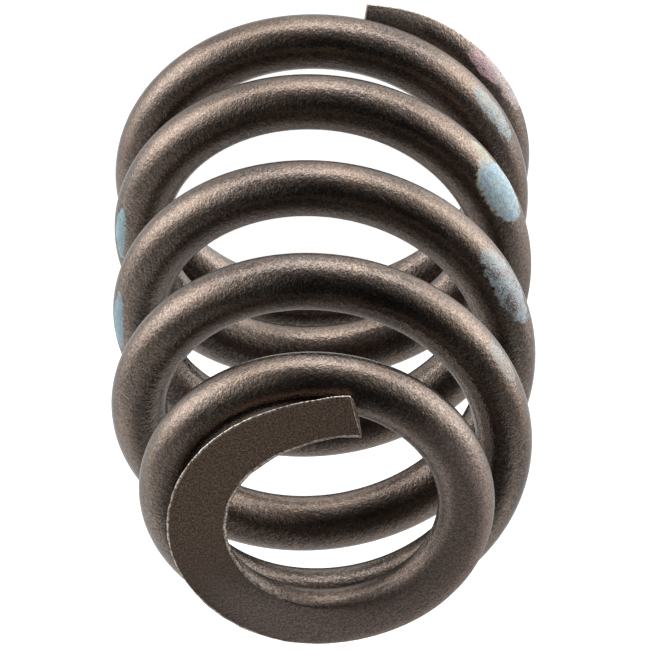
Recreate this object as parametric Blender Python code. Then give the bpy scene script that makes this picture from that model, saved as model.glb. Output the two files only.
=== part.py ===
"""Beehive valve spring for a piston engine, modelled standing on its large end.

One piece of round spring wire, coiled left-hand. The lower coils share one
diameter, the upper ones draw in to a small ring that takes the retainer. Both
end turns are closed, cut off and ground flat. Units are metres, +Z runs along
the spring, and the origin is the middle of the large ground end.
"""

import math

import bmesh
import bpy
from mathutils import Vector

MM = 0.001

# Wire and overall size
WIRE_DIAMETER = 4.25 * MM
BASE_OUTER_DIAMETER = 32.3 * MM
FREE_LENGTH = 45.3 * MM
TOTAL_TURNS = 5.99

# Winding along the wire, in turns up from the large end's tip
CLOSED_TURN_CLEARANCE = 0.15 * MM
BASE_OPENS_AT_TURNS = 0.12
BASE_FULLY_OPEN_AT_TURNS = 2.87
TOP_STARTS_CLOSING_AT_TURNS = 3.57
TOP_CLOSED_AT_TURNS = 5.44
TIP_AZIMUTH_DEGREES = 13.0

# How far the large end's turn springs out past the full radius, in turns up from its tip
BASE_SPREAD_STATIONS = (
    (0.0, -0.28 * MM),
    (0.04, 0.16 * MM),
    (0.1, 0.34 * MM),
    (0.2, 0.27 * MM),
)
BASE_SPREAD_ENDS_AT_TURNS = 0.45

# Mean radius of the small end, in turns down from its tip
TOP_RADIUS_STATIONS = (
    (0.0, 10.7 * MM),
    (0.1, 9.88 * MM),
    (0.3, 9.68 * MM),
    (0.42, 9.6 * MM),
    (0.6, 9.87 * MM),
    (0.8, 10.5 * MM),
    (1.1, 11.3 * MM),
    (1.5, 12.55 * MM),
)
FULL_RADIUS_FROM_TURNS = 2.1

# Grinding and cutting off
GROUND_PAST_WIRE_CENTRE = 1.1 * MM
TOP_TIP_SHEAR_DEGREES = 16.0
GRINDING_BLOCK_MARGIN = 6.0 * MM

# Facets of the modelled wire
POINTS_PER_TURN = 40
WIRE_BEVEL_RESOLUTION = 6
CAP_WELD_DISTANCE = 0.001 * MM
SHARP_EDGE_DEGREES = 40.0

STEEL_COLOUR = (0.105, 0.088, 0.076, 1.0)
STEEL_ROUGHNESS = 0.42
STEEL_METALLIC = 0.9


def clear_scene():
    for old in list(bpy.data.objects):
        bpy.data.objects.remove(old, do_unlink=True)


def new_collection(name):
    collection = bpy.data.collections.new(name)
    bpy.context.scene.collection.children.link(collection)
    return collection


def spring_steel():
    material = bpy.data.materials.new("peened_spring_steel")
    material.use_nodes = True
    shader = material.node_tree.nodes["Principled BSDF"]
    shader.inputs["Base Color"].default_value = STEEL_COLOUR
    shader.inputs["Roughness"].default_value = STEEL_ROUGHNESS
    shader.inputs["Metallic"].default_value = STEEL_METALLIC
    material.diffuse_color = STEEL_COLOUR
    return material


def smooth_step_area(value, start, end):
    """Area under a smooth step that is 0 up to start and 1 from end on."""
    share = (value - start) / (end - start)
    if share >= 1.0:
        return (end - start) * (share - 0.5)
    share = max(share, 0.0)
    return (end - start) * (share ** 3 - 0.5 * share ** 4)


def wire_height(turn):
    """Height of the wire's centre at a turn, counted up from the large tip.

    The rise in a turn is the closed pitch at both ends and swells to the
    working pitch between them. The working pitch follows from the free length.
    """
    def opened(at):
        return (smooth_step_area(at, BASE_OPENS_AT_TURNS, BASE_FULLY_OPEN_AT_TURNS)
                - smooth_step_area(at, TOP_STARTS_CLOSING_AT_TURNS, TOP_CLOSED_AT_TURNS))

    closed_pitch = WIRE_DIAMETER + CLOSED_TURN_CLEARANCE
    total_rise = FREE_LENGTH + 2.0 * GROUND_PAST_WIRE_CENTRE
    extra_rise = total_rise - closed_pitch * TOTAL_TURNS
    rise = closed_pitch * turn + extra_rise * opened(turn) / opened(TOTAL_TURNS)
    return rise - GROUND_PAST_WIRE_CENTRE


def station_slopes(places, values):
    """Slopes of a smooth curve through the stations that never overshoots."""
    gaps = [b - a for a, b in zip(places, places[1:])]
    chords = [(b - a) / gap for a, b, gap in zip(values, values[1:], gaps)]
    slopes = [chords[0]]
    for before, after in zip(chords, chords[1:]):
        if before * after <= 0.0:
            slopes.append(0.0)
        else:
            slopes.append(2.0 * before * after / (before + after))
    slopes.append(0.0)
    return slopes


def through_stations(place, stations):
    """Value at a place on the smooth curve through the stations."""
    places = [at for at, _ in stations]
    values = [value for _, value in stations]
    slopes = station_slopes(places, values)
    step = 0
    while place > places[step + 1]:
        step += 1
    width = places[step + 1] - places[step]
    share = (place - places[step]) / width
    rising = share * share * (3.0 - 2.0 * share)
    start_pull = share * (1.0 - share) ** 2
    end_pull = share * share * (share - 1.0)
    return (values[step] * (1.0 - rising) + values[step + 1] * rising
            + width * (slopes[step] * start_pull + slopes[step + 1] * end_pull))


def wire_radius(turn):
    """Distance of the wire's centre from the axis at a turn."""
    full_radius = (BASE_OUTER_DIAMETER - WIRE_DIAMETER) / 2.0
    from_top = TOTAL_TURNS - turn
    if turn < BASE_SPREAD_ENDS_AT_TURNS:
        spread_end = (BASE_SPREAD_ENDS_AT_TURNS, 0.0)
        return full_radius + through_stations(turn, BASE_SPREAD_STATIONS + (spread_end,))
    if from_top < FULL_RADIUS_FROM_TURNS:
        return through_stations(from_top, TOP_RADIUS_STATIONS + ((FULL_RADIUS_FROM_TURNS, full_radius),))
    return full_radius


def wire_centre(turn):
    """Centre of the wire: left-hand, so it turns clockwise on its way up."""
    angle = math.radians(TIP_AZIMUTH_DEGREES) + 2.0 * math.pi * turn
    radius = wire_radius(turn)
    return Vector((-radius * math.sin(angle), -radius * math.cos(angle), wire_height(turn)))


def wound_wire():
    """The wound wire before grinding, as a mesh with welded caps."""
    steps = round(TOTAL_TURNS * POINTS_PER_TURN)
    centres = [wire_centre(TOTAL_TURNS * step / steps) for step in range(steps + 1)]

    curve = bpy.data.curves.new("wire_path", "CURVE")
    curve.dimensions = "3D"
    curve.twist_mode = "Z_UP"
    curve.bevel_depth = WIRE_DIAMETER / 2.0
    curve.bevel_resolution = WIRE_BEVEL_RESOLUTION
    curve.use_fill_caps = True
    spline = curve.splines.new("POLY")
    spline.points.add(len(centres) - 1)
    for point, centre in zip(spline.points, centres):
        point.co = (*centre, 1.0)
    path = bpy.data.objects.new("wire_path", curve)
    bpy.context.scene.collection.objects.link(path)
    bpy.context.view_layer.update()

    evaluated = path.evaluated_get(bpy.context.evaluated_depsgraph_get())
    mesh = bpy.data.meshes.new_from_object(evaluated)
    wire = bpy.data.objects.new("valve_spring", mesh)
    wire.matrix_world = path.matrix_world
    bpy.data.objects.remove(path, do_unlink=True)
    bpy.data.curves.remove(curve)

    shape = bmesh.new()
    shape.from_mesh(mesh)
    bmesh.ops.remove_doubles(shape, verts=shape.verts, dist=CAP_WELD_DISTANCE)
    shear_tip(shape, centres[-1], centres[-1] - centres[-2])
    bmesh.ops.recalc_face_normals(shape, faces=shape.faces)
    shape.to_mesh(mesh)
    shape.free()
    return wire


def shear_tip(shape, tip, along):
    """Slides the tip's edge along the wire, further on its inner side."""
    along = along.normalized()
    outward = Vector((tip.x, tip.y, 0.0)).normalized()
    lean = math.tan(math.radians(TOP_TIP_SHEAR_DEGREES))
    reach = (WIRE_DIAMETER + CLOSED_TURN_CLEARANCE) / 2.0
    for vertex in shape.verts:
        offset = vertex.co - tip
        if offset.length < reach:
            vertex.co -= along * lean * offset.dot(outward)


def grinding_block(name, face_height, side, cutters):
    """A block whose face lies on a ground end: side is -1 below, +1 above."""
    depth = GRINDING_BLOCK_MARGIN + WIRE_DIAMETER
    width = BASE_OUTER_DIAMETER + 2.0 * GRINDING_BLOCK_MARGIN
    bpy.ops.mesh.primitive_cube_add(size=1.0, location=(0.0, 0.0, face_height + side * depth / 2.0))
    block = bpy.context.active_object
    block.name = name
    block.scale = (width, width, depth)
    block.hide_render = True
    block.display_type = "WIRE"
    for collection in list(block.users_collection):
        collection.objects.unlink(block)
    cutters.objects.link(block)
    return block


def grind(wire, block):
    cut = wire.modifiers.new(block.name, "BOOLEAN")
    cut.operation = "DIFFERENCE"
    cut.solver = "EXACT"
    cut.object = block


def main():
    clear_scene()
    parts = new_collection("valve_spring")
    cutters = new_collection("grinding_blocks")

    spring = wound_wire()
    parts.objects.link(spring)
    spring.data.materials.append(spring_steel())
    spring.data.shade_smooth()
    spring.data.set_sharp_from_angle(angle=math.radians(SHARP_EDGE_DEGREES))

    grind(spring, grinding_block("large_end_plane", 0.0, -1, cutters))
    grind(spring, grinding_block("small_end_plane", FREE_LENGTH, 1, cutters))


main()
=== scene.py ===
import math
from collections import namedtuple

import bpy
import numpy as np
from mathutils import Matrix, Vector


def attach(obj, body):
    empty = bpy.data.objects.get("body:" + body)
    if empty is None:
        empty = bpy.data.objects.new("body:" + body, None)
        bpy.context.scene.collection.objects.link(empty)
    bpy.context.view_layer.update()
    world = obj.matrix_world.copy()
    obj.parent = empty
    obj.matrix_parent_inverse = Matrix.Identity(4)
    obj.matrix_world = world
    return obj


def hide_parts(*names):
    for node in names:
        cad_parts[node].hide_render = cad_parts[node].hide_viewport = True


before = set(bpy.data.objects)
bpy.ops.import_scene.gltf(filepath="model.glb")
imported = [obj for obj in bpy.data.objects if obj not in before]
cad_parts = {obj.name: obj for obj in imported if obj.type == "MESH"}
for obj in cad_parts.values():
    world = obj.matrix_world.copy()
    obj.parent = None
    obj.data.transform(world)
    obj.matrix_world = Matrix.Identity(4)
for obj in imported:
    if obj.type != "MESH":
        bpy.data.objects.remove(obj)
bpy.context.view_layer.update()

MM = 0.001

# The wound wire's law, as the CAD part has it
WIRE_DIAMETER = 4.25 * MM
BASE_OUTER_DIAMETER = 32.3 * MM
FREE_LENGTH = 45.3 * MM
TOTAL_TURNS = 5.99
CLOSED_TURN_CLEARANCE = 0.15 * MM
BASE_OPENS_AT_TURNS = 0.12
BASE_FULLY_OPEN_AT_TURNS = 2.87
TOP_STARTS_CLOSING_AT_TURNS = 3.57
TOP_CLOSED_AT_TURNS = 5.44
TIP_AZIMUTH_DEGREES = 13.0
GROUND_PAST_WIRE_CENTRE = 1.1 * MM
TOP_TIP_SHEAR_DEGREES = 16.0

WIRE_RADIUS = WIRE_DIAMETER / 2.0
FULL_RADIUS = (BASE_OUTER_DIAMETER - WIRE_DIAMETER) / 2.0

# How far the large end's turn springs out past the full radius, in turns up from its tip
BASE_SPREAD_ENDS_AT_TURNS = 0.45
BASE_SPREAD_STATIONS = (
    (0.0, -0.28 * MM),
    (0.04, 0.16 * MM),
    (0.1, 0.34 * MM),
    (0.2, 0.27 * MM),
    (BASE_SPREAD_ENDS_AT_TURNS, 0.0),
)

# Mean radius of the small end, in turns down from its tip
TOP_RADIUS_STATIONS = (
    (0.0, 10.7 * MM),
    (0.1, 9.88 * MM),
    (0.3, 9.68 * MM),
    (0.42, 9.6 * MM),
    (0.6, 9.87 * MM),
    (0.8, 10.5 * MM),
    (1.1, 11.3 * MM),
    (1.5, 12.55 * MM),
    (2.1, FULL_RADIUS),
)

# How finely the wire is modelled, along it and round it
END_RINGS_PER_TURN = 280
BODY_RINGS_PER_TURN = 150
END_ZONE_TURNS = 0.95
SIDE_STEPS = 10
FACE_STEPS = 11
EDGE_STEPS = 3

# The points of a ring in their order: outer side, upper face with both its edges, inner side, lower face
SIDE_POINTS = SIDE_STEPS - 1
EDGE_POINTS = EDGE_STEPS + 1
FACE_POINTS = 2 * EDGE_POINTS + FACE_STEPS - 1
RING_POINTS = 2 * (SIDE_POINTS + FACE_POINTS)
UPPER_FACE_STARTS = SIDE_POINTS
LOWER_FACE_STARTS = 2 * SIDE_POINTS + FACE_POINTS

# Where a ground face has run out, its points are close together, and they spread evenly further on
NARROWEST_FACE = math.radians(6.0)
NARROWEST_EDGE = math.radians(0.4)
EVEN_STEP = math.pi / (SIDE_STEPS + 2 * EDGE_STEPS + FACE_STEPS)
EVEN_FACE = (0.5 * FACE_STEPS + EDGE_STEPS) * EVEN_STEP
EVEN_EDGE = 0.5 * EDGE_STEPS * EVEN_STEP
SPREAD_EVENLY_ABOVE_WIRE = 1.6 * MM
FREE_SIDE_SHARE = 0.75

# Broken edges of the ground faces, each at most a share of its face's half width
EDGE_RADIUS = 0.11 * MM
EDGE_RADIUS_SCATTER = 0.3
LARGEST_EDGE_SHARE = 0.6

# The lowest that a ground plane may cut a ring, in wire radii over the wire's centre
DEEPEST_CUT = -0.95

# The cut ends: their edge is rounded in steps ahead and aside, then rings fill them in, each a share
# of the edge's size. The small tip's slant runs in over a short length
TIP_EDGE_RADIUS = 0.09 * MM
TIP_EDGE_ROUNDING = ((0.6, 0.35), (1.0, 1.0))
TIP_FILL_SHARES = (0.8, 0.5, 0.2)
TIP_RINGS = len(TIP_EDGE_ROUNDING) + len(TIP_FILL_SHARES)
SHEAR_RUN_IN = 2.2 * MM

# The small end's face runs out over a rubbed crest, where it softens into the round wire. It lies on
# the upper part, from these shares of the turns on, and its own lengths are in turns down from the tip
UPPER_PART_FROM = 0.5
UPPER_PART_TO = 0.6
FACE_SOFTENS_FROM_TURNS = 0.46
FACE_SOFTENS_TO_TURNS = 0.62
SOFT_SHOULDER_SHARE = 0.75
RUBBED_FROM_TURNS = 0.42
RUBBED_TO_TURNS = 0.9
RUBBED_DEPTH = 0.6 * MM

# Thin burrs that the grinding leaves along the small end's face, and their profile over an edge
OUTER_BURR = 0.06 * MM
OUTER_BURR_SCATTER = 0.5
INNER_BURR = 0.16 * MM
INNER_BURR_SCATTER = 0.25
INNER_BURR_FULL_TO_TURNS = 0.34
INNER_BURR_ENDS_AT_TURNS = 0.52
BURR_PROFILE = (0.0, 1.0, 0.6, 0.0)

# Smooth random lines along the wire, with a new value every few rings
Wander = namedtuple("Wander", "spacing seed")
EDGE_WANDER = Wander(5, 7)
OUTER_BURR_FINE_WANDER = Wander(2, 3)
OUTER_BURR_COARSE_WANDER = Wander(9, 4)
INNER_BURR_WANDER = Wander(3, 5)

# The small tip's outer side, spread by the shear
SMALL_TIP_SPREAD = 0.25 * MM
SMALL_TIP_SPREAD_REACH = 2.8 * MM

# Marks on the wire: how far along it from the large tip, how far round it from its outermost side,
# half their length and width, their colour and how well it covers
Mark = namedtuple("Mark", "along around_degrees half_length half_width colour cover")
PAINT_MARKS = (
    Mark(9.7 * MM, 44.0, 1.8 * MM, 0.62 * MM, (0.38, 0.23, 0.25, 1.0), 0.5),
    Mark(11.8 * MM, 26.0, 2.6 * MM, 0.8 * MM, (0.36, 0.29, 0.28, 1.0), 0.33),
    Mark(99.4 * MM, 26.0, 2.5 * MM, 0.8 * MM, (0.20, 0.25, 0.26, 1.0), 0.44),
    Mark(152.2 * MM, 36.0, 2.3 * MM, 0.66 * MM, (0.13, 0.24, 0.28, 1.0), 0.6),
    Mark(165.5 * MM, 110.0, 0.45 * MM, 0.25 * MM, (0.21, 0.14, 0.06, 1.0), 0.6),
    Mark(185.9 * MM, 8.0, 1.3 * MM, 0.45 * MM, (0.25, 0.26, 0.17, 1.0), 0.5),
    Mark(240.4 * MM, 34.0, 2.7 * MM, 0.66 * MM, (0.12, 0.23, 0.28, 1.0), 0.58),
    Mark(278.0 * MM, 36.0, 3.3 * MM, 1.35 * MM, (0.21, 0.25, 0.27, 1.0), 0.41),
    Mark(365.5 * MM, 22.0, 1.8 * MM, 0.7 * MM, (0.22, 0.23, 0.22, 1.0), 0.32),
    Mark(188.65 * MM, 36.0, 2.7 * MM, 1.6 * MM, (0.33, 0.31, 0.25, 1.0), 0.85),
    Mark(188.85 * MM, 33.0, 2.6 * MM, 1.5 * MM, (0.23, 0.32, 0.37, 1.0), 0.66),
)

# Where the wire is rubbed dull: the crest that the small end's face runs out on, the large tip,
# and the wire beside the largest paint mark
RUBBED_SPOTS = (
    Mark(457.5 * MM, 84.0, 24.0 * MM, 3.2 * MM, (0.195, 0.152, 0.134, 1.0), 0.6),
    Mark(0.8 * MM, 50.0, 4.4 * MM, 2.6 * MM, (0.13, 0.11, 0.095, 1.0), 0.35),
    Mark(197.0 * MM, 30.0, 8.0 * MM, 2.2 * MM, (0.14, 0.12, 0.11, 1.0), 0.3),
)

# Noises of the materials, with scales in noise cells per metre
Noise = namedtuple("Noise", "scale detail roughness")
PEENED_GRAIN = Noise(6800.0, 1.0, 0.5)
PEENED_COARSE = Noise(2900.0, 2.0, 0.55)
STAINS = Noise(260.0, 2.0, 0.55)
BRONZE_TINT = Noise(150.0, 2.0, 0.5)
GROUND_GRAIN = Noise(7000.0, 2.0, 0.6)
GROUND_COARSE = Noise(3200.0, 2.0, 0.5)
EDGE_GRAIN = Noise(5000.0, 2.0, 0.6)
PAINT_OUTLINE = Noise(1500.0, 3.0, 0.7)
PAINT_SPECKS = Noise(8500.0, 3.0, 0.75)
PAINT_THINNING = Noise(1100.0, 2.0, 0.6)

# Windows of noise values, from where a change starts to where it is complete
PEENED_GRAIN_WINDOW = (0.30, 0.70)
MIDDLE_WINDOW = (0.35, 0.65)
STAIN_WINDOW = (0.62, 0.40)
TINT_WINDOW = (0.40, 0.62)
WIDE_WINDOW = (0.32, 0.68)
GROUND_SOIL_WINDOW = (0.58, 0.40)
PAINT_SOIL_WINDOW = (0.38, 0.62)

# Peened steel: darkest and palest colour of its grain's hollows and of its crests, its stains and
# its bronze tint, its relief, and what rubbing does to it
HOLLOW_COLOURS = ((0.052, 0.040, 0.033, 1.0), (0.070, 0.054, 0.044, 1.0))
CREST_COLOURS = ((0.119, 0.096, 0.081, 1.0), (0.165, 0.134, 0.114, 1.0))
STAIN_COLOUR = (0.03, 0.03, 0.034, 1.0)
STAIN_SHARE = 0.2
TINT_COLOUR = (0.135, 0.096, 0.072, 1.0)
TINT_SHARE = 0.25
PEENED_ROUGHNESS = (0.26, 0.30)
COARSE_RELIEF = 1.8
RELIEF_DEPTH = 0.022 * MM
SPECULAR_TINT = (0.72, 0.72, 0.72, 1.0)
RUBBED_WINDOW = (1.0, 0.6)
RUBBED_SHADES = (0.7, 1.3)
RUBBED_EXTRA_ROUGHNESS = 0.26

# Paint: how ragged its outline is, and from what speck noise on it is bare, which rises with its cover
OUTLINE_RAGGEDNESS = 0.8
OUTLINE_WINDOW = (1.05, 0.88)
THINNING_DEPTH = 0.5
BARE_FROM = 0.32
BARE_FROM_PER_COVER = 0.42
BARE_ABOVE = 0.16
PAINTED_BELOW = 0.12
PAINT_SOIL_COLOUR = (0.08, 0.10, 0.106, 1.0)
PAINT_SOIL_SHARE = 0.35
PAINT_EXTRA_ROUGHNESS = 0.25

# Ground faces: brown at the small tip, then greyer, then like the peened steel that the small end's
# face runs out on. Lengths are counted back from the small tip
BROWN_COLOURS = ((0.050, 0.033, 0.022, 1.0), (0.178, 0.125, 0.094, 1.0))
GREY_COLOURS = ((0.103, 0.077, 0.068, 1.0), (0.225, 0.177, 0.160, 1.0))
BROWN_TO = 20.0 * MM
GREY_FROM = 34.0 * MM
RUN_OUT_FROM = 17.0 * MM
RUN_OUT_TO = 27.5 * MM
GROUND_SOIL_COLOUR = (0.025, 0.019, 0.016, 1.0)
GROUND_SOIL_SHARE = 0.18
GROUND_RELIEF_SHARE = 0.64
GROUND_ROUGHNESS = 0.5
GROUND_METALLIC = 0.9

# Shares of the wire's length between which its large end's part passes into its small end's
SMALL_END_FADES_IN_FROM = 0.4
SMALL_END_FADES_IN_TO = 0.6

# Worn bright edges
EDGE_COLOURS = ((0.100, 0.081, 0.066, 1.0), (0.388, 0.338, 0.294, 1.0))
EDGE_RELIEF_STRENGTH = 0.4
EDGE_RELIEF_DEPTH = 0.03 * MM
EDGE_ROUGHNESS = 0.4

# Camera, in metres, degrees and millimetres of lens
CAMERA_AIM = (-0.00012, 0.0, 0.02111)
CAMERA_DISTANCE = 0.62513
CAMERA_ELEVATION = 51.435
CAMERA_HEADING = 2.272
CAMERA_ROLL = 179.159
CAMERA_LENS = 451.65
CAMERA_SENSOR_WIDTH = 36.0
CAMERA_CLIP = (0.05, 20.0)

# Floor: it glows, so that it stays a plain white
FLOOR_SIZE = 6.0
FLOOR_HEIGHT = -0.2 * MM
FLOOR_GREY = (0.8, 0.8, 0.8, 1.0)
FLOOR_GLOW = 0.9
WHITE = (1.0, 1.0, 1.0, 1.0)

# Soft light: large soft boxes round the camera's view, with a white backdrop and a dark front. A box
# lies in a direction made of the picture's right and up and of the way back to the camera
SoftBox = namedtuple("SoftBox", "right up front strength")
SOFT_BOXES = (
    SoftBox(-0.95, 0.31, 0.0, 8.5),
    SoftBox(0.95, 0.31, 0.0, 7.4),
    SoftBox(0.0, 1.0, 0.0, 4.2),
    SoftBox(0.72, 0.53, -0.45, 3.0),
    SoftBox(0.0, 0.85, 0.53, 1.1),
    SoftBox(-0.86, 0.15, 0.5, 1.1),
    SoftBox(0.76, 0.4, 0.5, 1.2),
    SoftBox(-0.69, -0.5, -0.5, 1.0),
    SoftBox(0.59, -0.81, 0.0, 1.5),
    SoftBox(-0.59, -0.81, 0.0, 1.1),
)
SOFT_BOX_TIGHTNESS = 12.0
BACKDROP_STRENGTH = 1.36
BACKDROP_WINDOW = (0.05, -0.5)
AMBIENT_STRENGTH = 0.016

# Strip light over the coils, at an angle up from the way back to the camera
KEY_ANGLE = math.radians(73.0)
KEY_DISTANCE = 0.5
KEY_LENGTH = 1.4
KEY_WIDTH = 0.24
KEY_ENERGY = 4.5

# Material slots of the wire, and the sockets of a colour Mix node
PEENED_SLOT, GROUND_SLOT, EDGE_SLOT = range(3)
MIX_SHARE, MIX_FIRST, MIX_SECOND, MIX_RESULT = 0, 6, 7, 2

# Mirrors of a section, whose points are (out, up), and the level part of a direction
SIDEWAYS_MIRROR = np.array([-1.0, 1.0])
UPSIDE_DOWN = np.array([1.0, -1.0])
LEVEL = np.array([1.0, 1.0, 0.0])


def clamp(values, low, high):
    return np.minimum(np.maximum(values, low), high)


def smooth(values, start, end):
    """0 on start's side, 1 on end's side, and a smooth rise between them."""
    share = clamp((values - start) / (end - start), 0.0, 1.0)
    return share * share * (3.0 - 2.0 * share)


def unit(vectors):
    return vectors / np.linalg.norm(vectors, axis=-1, keepdims=True)


def wander(count, line):
    """A smooth random line of about -1 to 1, with one value for each ring."""
    rng = np.random.default_rng(line.seed)
    knots = rng.uniform(-1.0, 1.0, count // line.spacing + 3)
    return np.interp(np.arange(count) / line.spacing, np.arange(len(knots)), knots)


def smooth_step_area(turns, start, end):
    """Area under a smooth step that is 0 up to start and 1 from end on."""
    share = np.maximum((turns - start) / (end - start), 0.0)
    inside = share ** 3 - 0.5 * share ** 4
    return (end - start) * np.where(share >= 1.0, share - 0.5, inside)


def opened(turns):
    return (smooth_step_area(turns, BASE_OPENS_AT_TURNS, BASE_FULLY_OPEN_AT_TURNS)
            - smooth_step_area(turns, TOP_STARTS_CLOSING_AT_TURNS, TOP_CLOSED_AT_TURNS))


def wire_heights(turns):
    closed_pitch = WIRE_DIAMETER + CLOSED_TURN_CLEARANCE
    total_rise = FREE_LENGTH + 2.0 * GROUND_PAST_WIRE_CENTRE
    extra_rise = total_rise - closed_pitch * TOTAL_TURNS
    rise = closed_pitch * turns + extra_rise * opened(turns) / opened(np.array(TOTAL_TURNS))
    return rise - GROUND_PAST_WIRE_CENTRE


def through_stations(at, stations):
    """Values on the smooth curve through the stations, which never overshoots them."""
    places = np.array([place for place, _ in stations])
    values = np.array([value for _, value in stations])
    chords = np.diff(values) / np.diff(places)
    slopes = np.zeros(len(places))
    slopes[0] = chords[0]
    for i in range(1, len(places) - 1):
        if chords[i - 1] * chords[i] > 0.0:
            slopes[i] = 2.0 * chords[i - 1] * chords[i] / (chords[i - 1] + chords[i])
    step = clamp(np.searchsorted(places, at, side="right") - 1, 0, len(places) - 2)
    width = places[step + 1] - places[step]
    share = clamp((at - places[step]) / width, 0.0, 1.0)
    rising = share * share * (3.0 - 2.0 * share)
    start_pull = share * (1.0 - share) ** 2
    end_pull = share * share * (share - 1.0)
    return (values[step] * (1.0 - rising) + values[step + 1] * rising
            + width * (slopes[step] * start_pull + slopes[step + 1] * end_pull))


def wire_radii(turns):
    base = FULL_RADIUS + through_stations(turns, BASE_SPREAD_STATIONS)
    top = through_stations(TOTAL_TURNS - turns, TOP_RADIUS_STATIONS)
    return np.where(turns < BASE_SPREAD_ENDS_AT_TURNS, base, top)


def wire_centres(turns):
    angles = math.radians(TIP_AZIMUTH_DEGREES) + 2.0 * math.pi * turns
    radii = wire_radii(turns)
    return np.stack([-radii * np.sin(angles), -radii * np.cos(angles), wire_heights(turns)], 1)


def ring_turns():
    """Where the rings are, in turns, closer together in both end turns."""
    end = np.linspace(0.0, END_ZONE_TURNS, round(END_ZONE_TURNS * END_RINGS_PER_TURN) + 1)
    body_turns = TOTAL_TURNS - 2.0 * END_ZONE_TURNS
    body = np.linspace(END_ZONE_TURNS, TOTAL_TURNS - END_ZONE_TURNS,
                       round(body_turns * BODY_RINGS_PER_TURN) + 1)
    return np.concatenate([end, body[1:-1], TOTAL_TURNS - end[::-1]])


Winding = namedtuple("Winding", "turns centres along outward upward lengths")


def wind():
    """The wire's centre line, with each ring's own directions and its length from the large tip."""
    turns = ring_turns()
    centres = wire_centres(turns)
    along = unit(np.gradient(centres, turns, axis=0))
    outward = unit(np.stack([-along[:, 1], along[:, 0], np.zeros(len(turns))], 1))
    outward *= np.sign(np.sum(outward * centres, 1, keepdims=True))
    upward = np.cross(outward, along)
    upward *= np.sign(upward[:, 2:3])
    steps = np.linalg.norm(np.diff(centres, axis=0), axis=1)
    lengths = np.concatenate([[0.0], np.cumsum(steps)])
    return Winding(turns, centres, along, outward, upward, lengths)


# The upper half of a ring's section: its points and normals from the outer edge over the face to
# the inner edge, the angle from straight up where the round side starts, and whether it is ground
Half = namedtuple("Half", "points normals side_angle is_ground")


def on_circle(angles):
    """Directions at angles from straight up towards the outside."""
    return np.stack([np.sin(angles), np.cos(angles)], 1)


def sharp_face(height, half_angle, edge_radius):
    """A flat face at a height over the wire's centre, with both edges broken."""
    half_width = WIRE_RADIUS * math.sin(half_angle)
    run = min(edge_radius * math.tan(half_angle / 2.0), LARGEST_EDGE_SHARE * half_width)
    rounding = run / math.tan(half_angle / 2.0)
    edge_normals = on_circle(np.linspace(0.0, half_angle, EDGE_POINTS)[::-1])
    edge = np.array([half_width - run, height - rounding]) + rounding * edge_normals
    across = np.linspace(half_width - run, run - half_width, FACE_STEPS + 1)[1:-1]
    flat = np.stack([across, np.full(len(across), height)], 1)
    flat_normals = np.tile([0.0, 1.0], (len(across), 1))
    points = np.concatenate([edge, flat, edge[::-1] * SIDEWAYS_MIRROR])
    normals = np.concatenate([edge_normals, flat_normals, edge_normals[::-1] * SIDEWAYS_MIRROR])
    return points, normals, half_angle + run / WIRE_RADIUS


def rubbed_face(height, half_angle):
    """The same face rubbed soft, so that it bends smoothly into the round wire."""
    side_angle = half_angle + SOFT_SHOULDER_SHARE * math.sin(half_angle)
    widest = WIRE_RADIUS * math.sin(side_angle)
    across = np.linspace(widest, -widest, FACE_POINTS)
    round_height = np.sqrt(WIRE_RADIUS ** 2 - across ** 2)
    blend = height - WIRE_RADIUS * math.cos(side_angle)
    gap = height - round_height
    lowered = np.maximum(blend - np.abs(gap), 0.0) ** 2 / (4.0 * blend)
    points = np.stack([across, np.minimum(round_height, height) - lowered], 1)
    roundness = clamp((blend + gap) / (2.0 * blend), 0.0, 1.0)
    normals = unit(np.stack([roundness * across / round_height, np.ones(len(across))], 1))
    return points, normals, side_angle


def ground_half(height, edge_radius, softness, burrs):
    """A half that is ground off at a height over the wire's centre."""
    half_angle = math.acos(max(height / WIRE_RADIUS, DEEPEST_CUT))
    points, normals, side_angle = sharp_face(height, half_angle, edge_radius)
    if softness > 0.0:
        soft_points, soft_normals, soft_angle = rubbed_face(height, half_angle)
        points = points + (soft_points - points) * softness
        normals = unit(normals + (soft_normals - normals) * softness)
        side_angle = side_angle + (soft_angle - side_angle) * softness
    outer_burr, inner_burr = np.outer(burrs, BURR_PROFILE)
    points[:EDGE_POINTS, 0] += outer_burr
    points[-EDGE_POINTS:, 0] -= inner_burr[::-1]
    return Half(points, normals, side_angle, True)


def round_half(height, other_height):
    """A half that is left round, though its points are spaced as on a ground one."""
    spread = float(smooth(np.array(height), WIRE_RADIUS, WIRE_RADIUS + SPREAD_EVENLY_ABOVE_WIRE))
    face = NARROWEST_FACE + (EVEN_FACE - NARROWEST_FACE) * spread
    edge = NARROWEST_EDGE + (EVEN_EDGE - NARROWEST_EDGE) * spread
    if other_height < WIRE_RADIUS:
        room = math.pi - math.acos(other_height / WIRE_RADIUS)
        fit = min(1.0, FREE_SIDE_SHARE * room / (face + edge))
        face = face * fit
        edge = edge * fit
    outer = np.linspace(face + edge, face - edge, EDGE_POINTS)
    middle = np.linspace(outer[-1], -outer[-1], FACE_STEPS + 1)[1:-1]
    normals = on_circle(np.concatenate([outer, middle, -outer[::-1]]))
    return Half(WIRE_RADIUS * normals, normals, outer[0], False)


def half_section(height, other_height, edge_radius, softness, burrs):
    """A half of the wire's section, whose ground plane is at a height over the wire's centre."""
    if height < WIRE_RADIUS * math.cos(NARROWEST_FACE):
        return ground_half(height, edge_radius, softness, burrs)
    return round_half(height, other_height)


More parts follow.
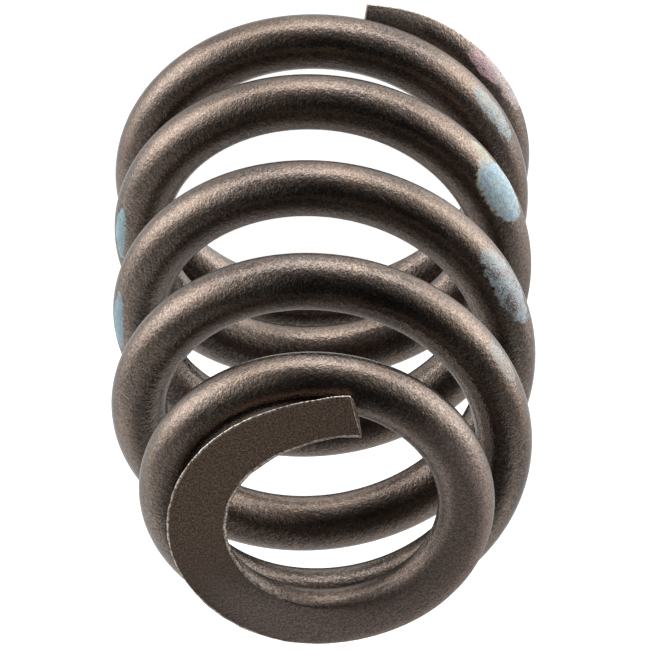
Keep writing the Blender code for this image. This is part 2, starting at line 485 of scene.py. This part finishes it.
def whole_section(upper, lower):
    """The ring's points and normals, from its upper half and the lower one seen upside down."""
    side = on_circle(np.linspace(math.pi - lower.side_angle, upper.side_angle, SIDE_STEPS + 1)[1:-1])
    inner_side = side[::-1] * SIDEWAYS_MIRROR
    points = np.concatenate([WIRE_RADIUS * side, upper.points, WIRE_RADIUS * inner_side,
                             lower.points[::-1] * UPSIDE_DOWN])
    normals = np.concatenate([side, upper.normals, inner_side, lower.normals[::-1] * UPSIDE_DOWN])
    return points, normals


def burr_sizes(winding, on_top, softness):
    """How far the outer and the inner edge of the small end's face are pushed out, ring by ring."""
    count = len(winding.turns)
    from_tip = TOTAL_TURNS - winding.turns
    ragged = wander(count, OUTER_BURR_FINE_WANDER) + wander(count, OUTER_BURR_COARSE_WANDER)
    outer = OUTER_BURR * (1.0 + OUTER_BURR_SCATTER * ragged)
    inner = INNER_BURR * (1.0 + INNER_BURR_SCATTER * wander(count, INNER_BURR_WANDER))
    inner_runs = smooth(from_tip, INNER_BURR_ENDS_AT_TURNS, INNER_BURR_FULL_TO_TURNS)
    return np.stack([outer * on_top * (1.0 - softness), inner * on_top * inner_runs], 1)


def wire_rings(winding):
    """Every ring's points, normals, places on the straightened wire, and which halves are ground."""
    from_tip = TOTAL_TURNS - winding.turns
    on_top = smooth(winding.turns, UPPER_PART_FROM * TOTAL_TURNS, UPPER_PART_TO * TOTAL_TURNS)
    rubbed = RUBBED_DEPTH * on_top * smooth(from_tip, RUBBED_FROM_TURNS, RUBBED_TO_TURNS)
    softness = on_top * smooth(from_tip, FACE_SOFTENS_FROM_TURNS, FACE_SOFTENS_TO_TURNS)
    centre_heights = winding.centres[:, 2]
    upper_heights = (FREE_LENGTH - rubbed - centre_heights) / winding.upward[:, 2]
    lower_heights = centre_heights / winding.upward[:, 2]
    edge_radii = EDGE_RADIUS * (1.0 + EDGE_RADIUS_SCATTER * wander(len(from_tip), EDGE_WANDER))
    burrs = burr_sizes(winding, on_top, softness)

    rings, ring_normals, places, ground = [], [], [], []
    for i, (centre, out, up) in enumerate(zip(winding.centres, winding.outward, winding.upward)):
        upper = half_section(upper_heights[i], lower_heights[i], edge_radii[i], softness[i], burrs[i])
        lower = half_section(lower_heights[i], upper_heights[i], edge_radii[i], 0.0, burrs[i])
        points, normals = whole_section(upper, lower)
        rings.append(centre + points[:, :1] * out + points[:, 1:] * up)
        ring_normals.append(normals[:, :1] * out + normals[:, 1:] * up)
        places.append(np.column_stack([np.full(RING_POINTS, winding.lengths[i]), points]))
        ground.append((upper.is_ground, lower.is_ground))
    return np.array(rings), np.array(ring_normals), np.array(places), np.array(ground)


def shape_tip(winding, rings):
    """Spreads the small tip's outer side and leans its cut."""
    to_tip = winding.lengths[-1] - winding.lengths
    spread = SMALL_TIP_SPREAD * (1.0 - smooth(to_tip, 0.0, SMALL_TIP_SPREAD_REACH))
    across = np.einsum("ijk,ik->ij", rings - winding.centres[:, None], winding.outward)
    outer_share = clamp(across / WIRE_RADIUS, 0.0, 1.0)
    rings = rings + (spread[:, None] * outer_share)[:, :, None] * winding.outward[:, None]
    shear = math.tan(math.radians(TOP_TIP_SHEAR_DEGREES))
    lean = shear * (1.0 - clamp(to_tip / SHEAR_RUN_IN, 0.0, 1.0))
    level = unit(winding.along * LEVEL)
    return rings - (lean[:, None] * across)[:, :, None] * level[:, None]


def tip_rings(ring, normals, outward_end):
    """Rings that round a cut end's edge and run in to its middle."""
    inward = unit(ring.mean(0) - ring)
    rings, ring_normals = [], []
    for ahead, aside in TIP_EDGE_ROUNDING:
        rings.append(ring + TIP_EDGE_RADIUS * (outward_end * ahead + inward * aside))
        ring_normals.append(unit(normals * (1.0 - ahead) + outward_end * ahead))
    edge = rings[-1]
    middle = edge.mean(0)
    for share in TIP_FILL_SHARES:
        rings.append(middle + (edge - middle) * share)
        ring_normals.append(np.tile(outward_end, (len(ring), 1)))
    return rings, ring_normals


def wire_slots(winding, ground):
    """The material slot of every face between two rings, band by band."""
    from_tip = TOTAL_TURNS - winding.turns
    in_lower_part = winding.turns <= UPPER_PART_FROM * TOTAL_TURNS
    upper_ground = ground[:-1, 0] & ground[1:, 0]
    upper_ground &= in_lower_part[:-1] | (from_tip[:-1] <= FACE_SOFTENS_FROM_TURNS)
    lower_ground = ground[:-1, 1] & ground[1:, 1]
    slots = np.full((len(winding.turns) - 1, RING_POINTS), PEENED_SLOT)
    for is_ground, start in ((upper_ground, UPPER_FACE_STARTS), (lower_ground, LOWER_FACE_STARTS)):
        end = start + FACE_POINTS - 1
        slots[is_ground, start:end] = EDGE_SLOT
        slots[is_ground, start + EDGE_STEPS:end - EDGE_STEPS] = GROUND_SLOT
    return slots


def mesh_slots(winding, ground):
    """The material slot of every face of the wire: both cut ends are ground steel."""
    cut_end = np.full((TIP_RINGS, RING_POINTS), GROUND_SLOT)
    small_end = cut_end.copy()
    small_end[0, UPPER_FACE_STARTS:UPPER_FACE_STARTS + FACE_POINTS - 1] = EDGE_SLOT
    bands = np.concatenate([cut_end, wire_slots(winding, ground), small_end])
    return np.append(bands.ravel(), [GROUND_SLOT, GROUND_SLOT])


def mesh_faces(ring_count):
    """Faces between each two rings, and one that closes each end."""
    next_points = [*range(1, RING_POINTS), 0]
    faces = []
    for start in range(0, (ring_count - 1) * RING_POINTS, RING_POINTS):
        end = start + RING_POINTS
        faces += [(start + j, start + k, end + k, end + j) for j, k in enumerate(next_points)]
    last = (ring_count - 1) * RING_POINTS
    faces.append(tuple(reversed(range(RING_POINTS))))
    faces.append(tuple(range(last, last + RING_POINTS)))
    return faces


def wire_mesh(winding):
    rings, normals, places, ground = wire_rings(winding)
    rings = shape_tip(winding, rings)
    level = unit(winding.along * LEVEL)
    start_rings, start_normals = tip_rings(rings[0], normals[0], -level[0])
    end_rings, end_normals = tip_rings(rings[-1], normals[-1], level[-1])
    all_rings = [*start_rings[::-1], *rings, *end_rings]
    all_normals = [*start_normals[::-1], *normals, *end_normals]
    all_places = [places[0]] * TIP_RINGS + [*places] + [places[-1]] * TIP_RINGS
    faces = mesh_faces(len(all_rings))
    slots = mesh_slots(winding, ground)

    mesh = bpy.data.meshes.new("spring_wire")
    mesh.from_pydata([tuple(point) for point in np.concatenate(all_rings)], [], faces)
    mesh.validate()
    mesh.update()
    mesh.polygons.foreach_set("material_index", slots.astype(np.int32))
    mesh.polygons.foreach_set("use_smooth", np.ones(len(faces), dtype=bool))
    mesh.normals_split_custom_set_from_vertices([tuple(normal) for normal in np.concatenate(all_normals)])
    wire_place = mesh.attributes.new("wire_place", "FLOAT_VECTOR", "POINT")
    wire_place.data.foreach_set("vector", np.concatenate(all_places).ravel())
    return mesh


class Nodes:
    """A short way to add and join shader nodes."""

    def __init__(self, tree):
        self.tree = tree

    def add(self, kind, inputs=None, **settings):
        node = self.tree.nodes.new(kind)
        for name, value in settings.items():
            setattr(node, name, value)
        for name, value in (inputs or {}).items():
            socket = node.inputs[name]
            if isinstance(value, bpy.types.NodeSocket):
                self.tree.links.new(value, socket)
            else:
                socket.default_value = value
        return node

    def math(self, operation, first, second=0.0, third=0.0):
        node = self.add("ShaderNodeMath", {0: first, 1: second, 2: third}, operation=operation)
        return node.outputs[0]

    def vector(self, operation, first, second=(0.0, 0.0, 0.0), output="Vector"):
        node = self.add("ShaderNodeVectorMath", {0: first, 1: second}, operation=operation)
        return node.outputs[output]

    def ramp(self, value, window, low=0.0, high=1.0):
        """Goes smoothly from low to high while the value crosses the window."""
        start, end = window
        node = self.add("ShaderNodeMapRange",
                        {"Value": value, "From Min": start, "From Max": end, "To Min": low, "To Max": high},
                        interpolation_type="SMOOTHSTEP")
        return node.outputs["Result"]

    def mix(self, share, first, second):
        node = self.add("ShaderNodeMix", {MIX_SHARE: share, MIX_FIRST: first, MIX_SECOND: second},
                        data_type="RGBA")
        return node.outputs[MIX_RESULT]

    def noise(self, place, noise):
        node = self.add("ShaderNodeTexNoise", {"Vector": place, "Scale": noise.scale,
                                               "Detail": noise.detail, "Roughness": noise.roughness})
        return node.outputs["Fac"]

    def swing(self, place, noise, depth):
        """A noise that swings about zero, by half the depth either way."""
        return self.math("MULTIPLY_ADD", self.noise(place, noise), depth, -depth / 2.0)

    def place(self):
        return self.add("ShaderNodeTexCoord").outputs["Object"]

    def wire_place(self):
        """A spot's length along the wire, and how far it is out and up from the wire's centre."""
        return self.add("ShaderNodeAttribute", attribute_name="wire_place").outputs["Vector"]

    def relief(self, height, depth, strength=1.0):
        node = self.add("ShaderNodeBump", {"Height": height, "Strength": strength, "Distance": depth})
        return node.outputs["Normal"]


def new_material(name):
    material = bpy.data.materials.new(name)
    material.use_nodes = True
    return material, Nodes(material.node_tree), material.node_tree.nodes["Principled BSDF"]


def join(nodes, shader, **outputs):
    """Links node outputs to the shader's inputs, named as words joined with underscores."""
    for name, output in outputs.items():
        nodes.tree.links.new(output, shader.inputs[name.replace("_", " ")])


def mark_distance(nodes, wire_place, mark):
    """Distance from a mark's middle, as a share of its half sizes."""
    angle = math.radians(mark.around_degrees)
    middle = (mark.along, WIRE_RADIUS * math.cos(angle), WIRE_RADIUS * math.sin(angle))
    half_sizes = (mark.half_length, mark.half_width, mark.half_width)
    offset = nodes.vector("SUBTRACT", wire_place, middle)
    return nodes.vector("LENGTH", nodes.vector("DIVIDE", offset, half_sizes), output="Value")


def paint_share(nodes, place, wire_place, mark):
    """How much of a paint mark covers each spot, with a ragged outline and bare specks."""
    ragged = nodes.swing(place, PAINT_OUTLINE, OUTLINE_RAGGEDNESS)
    distance = nodes.math("ADD", mark_distance(nodes, wire_place, mark), ragged)
    inside = nodes.ramp(distance, OUTLINE_WINDOW)
    thin = nodes.swing(place, PAINT_THINNING, THINNING_DEPTH)
    specks = nodes.math("ADD", nodes.noise(place, PAINT_SPECKS), thin)
    bare_from = BARE_FROM + BARE_FROM_PER_COVER * mark.cover
    kept = nodes.ramp(specks, (bare_from + BARE_ABOVE, bare_from - PAINTED_BELOW))
    return nodes.math("MULTIPLY", inside, kept)


def shaded(colour, shade):
    red, green, blue, alpha = colour
    return (red * shade, green * shade, blue * shade, alpha)


def peened_surface(nodes, place, wire_place):
    """Colour, roughness, relief and coarse grain of the peened steel, with its rubbed spots."""
    grain = nodes.noise(place, PEENED_GRAIN)
    coarse = nodes.noise(place, PEENED_COARSE)
    stains = nodes.noise(place, STAINS)
    paleness = nodes.ramp(coarse, MIDDLE_WINDOW)
    hollows = nodes.mix(paleness, *HOLLOW_COLOURS)
    crests = nodes.mix(paleness, *CREST_COLOURS)
    colour = nodes.mix(nodes.ramp(grain, PEENED_GRAIN_WINDOW), hollows, crests)
    colour = nodes.mix(nodes.ramp(stains, STAIN_WINDOW, high=STAIN_SHARE), colour, STAIN_COLOUR)
    tint = nodes.ramp(nodes.noise(place, BRONZE_TINT), TINT_WINDOW, high=TINT_SHARE)
    colour = nodes.mix(tint, colour, TINT_COLOUR)
    rough = nodes.ramp(stains, MIDDLE_WINDOW, *PEENED_ROUGHNESS)
    relief = nodes.math("ADD", grain, nodes.math("MULTIPLY", coarse, COARSE_RELIEF))
    speckle = nodes.ramp(grain, WIDE_WINDOW)
    for spot in RUBBED_SPOTS:
        rubbed = nodes.ramp(mark_distance(nodes, wire_place, spot), RUBBED_WINDOW)
        tone = nodes.mix(speckle, *[shaded(spot.colour, shade) for shade in RUBBED_SHADES])
        colour = nodes.mix(nodes.math("MULTIPLY", rubbed, spot.cover), colour, tone)
        rough = nodes.math("MULTIPLY_ADD", rubbed, RUBBED_EXTRA_ROUGHNESS, rough)
    return colour, rough, relief, coarse


def peened_steel():
    """The wire's own surface, with the worn paint marks on it."""
    material, nodes, shader = new_material("peened_spring_steel")
    place = nodes.place()
    wire_place = nodes.wire_place()
    colour, rough, relief, coarse = peened_surface(nodes, place, wire_place)
    soil = nodes.ramp(coarse, PAINT_SOIL_WINDOW, high=PAINT_SOIL_SHARE)
    bare = 1.0
    for mark in PAINT_MARKS:
        share = paint_share(nodes, place, wire_place, mark)
        colour = nodes.mix(share, colour, nodes.mix(soil, mark.colour, PAINT_SOIL_COLOUR))
        rough = nodes.math("MULTIPLY_ADD", share, PAINT_EXTRA_ROUGHNESS, rough)
        bare = nodes.math("SUBTRACT", bare, share)
    join(nodes, shader, Base_Color=colour, Roughness=rough, Metallic=nodes.math("MAXIMUM", bare, 0.0),
         Normal=nodes.relief(relief, RELIEF_DEPTH))
    shader.inputs["Specular Tint"].default_value = SPECULAR_TINT
    return material


def ground_steel(wire_length):
    """The ground faces and the cut ends."""
    material, nodes, shader = new_material("ground_steel")
    place = nodes.place()
    wire_place = nodes.wire_place()
    along = nodes.add("ShaderNodeSeparateXYZ", {"Vector": wire_place}).outputs["X"]
    grain = nodes.noise(place, GROUND_GRAIN)
    speckle = nodes.ramp(grain, WIDE_WINDOW)
    brown = nodes.mix(speckle, *BROWN_COLOURS)
    grey = nodes.mix(speckle, *GREY_COLOURS)
    greyness = nodes.ramp(along, (wire_length - BROWN_TO, wire_length - GREY_FROM))
    colour = nodes.mix(greyness, brown, grey)
    soil = nodes.ramp(nodes.noise(place, GROUND_COARSE), GROUND_SOIL_WINDOW, high=GROUND_SOIL_SHARE)
    colour = nodes.mix(soil, colour, GROUND_SOIL_COLOUR)

    peened, peened_rough, peened_relief, _ = peened_surface(nodes, place, wire_place)
    runs_out = nodes.ramp(along, (wire_length - RUN_OUT_FROM, wire_length - RUN_OUT_TO))
    small_end = nodes.ramp(along, (SMALL_END_FADES_IN_FROM * wire_length,
                                   SMALL_END_FADES_IN_TO * wire_length))
    runs_out = nodes.math("MULTIPLY", runs_out, small_end)
    flat = nodes.math("SUBTRACT", 1.0, runs_out)
    colour = nodes.mix(runs_out, colour, peened)
    ground_relief = nodes.math("MULTIPLY", grain, GROUND_RELIEF_SHARE)
    peened_relief = nodes.math("MULTIPLY", peened_relief, runs_out)
    relief = nodes.math("MULTIPLY_ADD", ground_relief, flat, peened_relief)
    peened_rough = nodes.math("MULTIPLY", peened_rough, runs_out)
    rough = nodes.math("MULTIPLY_ADD", flat, GROUND_ROUGHNESS, peened_rough)
    join(nodes, shader, Base_Color=colour, Roughness=rough, Normal=nodes.relief(relief, RELIEF_DEPTH),
         Metallic=nodes.ramp(runs_out, (0.0, 1.0), GROUND_METALLIC, 1.0))
    shader.inputs["Specular Tint"].default_value = SPECULAR_TINT
    return material


def worn_edge():
    """The bright edges of the ground faces."""
    material, nodes, shader = new_material("burr_edge")
    grain = nodes.noise(nodes.place(), EDGE_GRAIN)
    join(nodes, shader, Base_Color=nodes.mix(nodes.ramp(grain, MIDDLE_WINDOW), *EDGE_COLOURS),
         Normal=nodes.relief(grain, EDGE_RELIEF_DEPTH, EDGE_RELIEF_STRENGTH))
    shader.inputs["Roughness"].default_value = EDGE_ROUGHNESS
    shader.inputs["Metallic"].default_value = 1.0
    return material


def add_object(name, data):
    thing = bpy.data.objects.new(name, data)
    bpy.context.scene.collection.objects.link(thing)
    return thing


def camera_turn():
    return (Matrix.Rotation(math.radians(CAMERA_HEADING), 4, "Z")
            @ Matrix.Rotation(math.radians(90.0 - CAMERA_ELEVATION), 4, "X")
            @ Matrix.Rotation(math.radians(CAMERA_ROLL), 4, "Z"))


def make_camera(turned, backward):
    camera = add_object("camera", bpy.data.cameras.new("camera"))
    camera.matrix_world = Matrix.Translation(Vector(CAMERA_AIM) + backward * CAMERA_DISTANCE) @ turned
    camera.data.lens = CAMERA_LENS
    camera.data.sensor_width = CAMERA_SENSOR_WIDTH
    camera.data.clip_start, camera.data.clip_end = CAMERA_CLIP
    bpy.context.scene.camera = camera


def make_floor():
    """A plain white floor that adds no light to the spring."""
    bpy.ops.mesh.primitive_plane_add(size=FLOOR_SIZE, location=(0.0, 0.0, FLOOR_HEIGHT))
    floor = bpy.context.active_object
    floor.name = "floor"
    material, _, shader = new_material("pale_floor")
    shader.inputs["Base Color"].default_value = FLOOR_GREY
    shader.inputs["Roughness"].default_value = 1.0
    shader.inputs["Emission Color"].default_value = WHITE
    shader.inputs["Emission Strength"].default_value = FLOOR_GLOW
    floor.data.materials.append(material)
    floor.visible_glossy = False
    floor.visible_diffuse = False
    floor.visible_shadow = False
    floor.visible_transmission = False
    return floor


def make_soft_light(image_right, image_up, backward):
    world = bpy.data.worlds.new("light_tent")
    bpy.context.scene.world = world
    world.use_nodes = True
    sky = Nodes(world.node_tree)
    background = world.node_tree.nodes["Background"]
    direction = sky.add("ShaderNodeTexCoord").outputs["Generated"]

    def facing(axis):
        """The cosine between the light's direction and an axis."""
        return sky.vector("DOT_PRODUCT", direction, tuple(axis), output="Value")

    backdrop = sky.ramp(facing(backward), BACKDROP_WINDOW, high=BACKDROP_STRENGTH)
    light = sky.math("ADD", backdrop, AMBIENT_STRENGTH)
    for box in SOFT_BOXES:
        axis = (image_right * box.right + image_up * box.up + backward * box.front).normalized()
        fall = sky.math("MULTIPLY_ADD", facing(axis), SOFT_BOX_TIGHTNESS, -SOFT_BOX_TIGHTNESS)
        light = sky.math("MULTIPLY_ADD", sky.math("EXPONENT", fall), box.strength, light)
    world.node_tree.links.new(light, background.inputs["Strength"])
    background.inputs["Color"].default_value = WHITE


def make_key_strip(image_right, image_up, backward):
    towards_key = backward * math.cos(KEY_ANGLE) + image_up * math.sin(KEY_ANGLE)
    strip = bpy.data.lights.new("key_strip", "AREA")
    strip.shape = "RECTANGLE"
    strip.size = KEY_LENGTH
    strip.size_y = KEY_WIDTH
    strip.energy = KEY_ENERGY
    key = add_object("key_strip", strip)
    axes = Matrix((image_right, towards_key.cross(image_right), towards_key)).transposed().to_4x4()
    key.matrix_world = Matrix.Translation(towards_key * KEY_DISTANCE + Vector(CAMERA_AIM)) @ axes
    key.visible_camera = False


turned = camera_turn()
image_right, image_up, backward = (column.to_3d() for column in list(turned.col)[:3])
make_camera(turned, backward)

winding = wind()
wire = add_object("spring_wire", wire_mesh(winding))
for material in (peened_steel(), ground_steel(float(winding.lengths[-1])), worn_edge()):
    wire.data.materials.append(material)
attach(wire, "root")
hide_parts("valve_spring")

floor = make_floor()

make_soft_light(image_right, image_up, backward)
make_key_strip(image_right, image_up, backward)
bpy.context.scene.view_settings.view_transform = "Standard"
